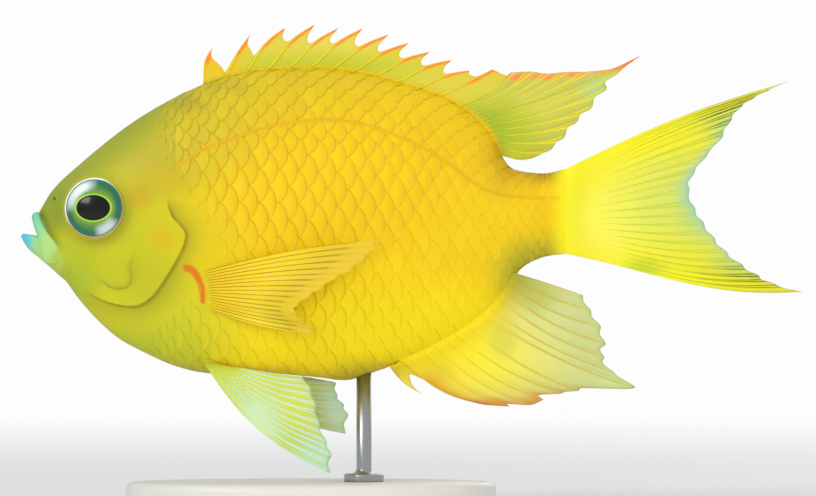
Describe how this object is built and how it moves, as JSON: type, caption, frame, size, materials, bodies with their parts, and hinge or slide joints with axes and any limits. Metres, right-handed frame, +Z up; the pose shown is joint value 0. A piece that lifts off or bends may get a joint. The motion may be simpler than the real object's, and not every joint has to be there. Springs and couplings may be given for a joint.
{
  "type": "yellow chromis",
  "caption": "Yellow chromis, a small deep-bodied yellow reef fish with a forked tail, life-size and still, swimming on a plain display stand.",
  "frame": {"origin": "floor level under the middle of the model's bounding box", "axes": "the fish looks along -X, its left side faces -Y, +Z is up"},
  "size_m": [0.1564, 0.048, 0.0959],
  "materials": {
    "flesh": "moist scaled skin, gold with an olive head",
    "lips": "smooth moist skin, mint and sky blue",
    "eye": "wet clear cornea over a teal and green iris",
    "fin_web": "translucent yellow webs with ochre rays",
    "pelvic_web": "translucent mint webs with pale blue rays",
    "stand_lacquer": "satin pale grey lacquer",
    "stand_steel": "fine brushed"
  },
  "bodies": {
    "root": {"head": "flesh", "trunk": "flesh", "tail": "flesh", "upper_lip": "lips", "lower_jaw": "lips", "gill_cover_left": "flesh", "gill_cover_right": "flesh", "eye_left": "eye", "eye_right": "eye", "dorsal_fin_spiny": "fin_web", "dorsal_fin_soft": "fin_web", "anal_fin": "fin_web", "caudal_fin_upper": "fin_web", "caudal_fin_lower": "fin_web", "pectoral_fin_left": "fin_web", "pectoral_fin_right": "fin_web", "pelvic_fin_left": "pelvic_web", "pelvic_fin_right": "pelvic_web", "stand_base": "stand_lacquer", "stand_rod": "stand_steel"}
  },
  "joints": []
}
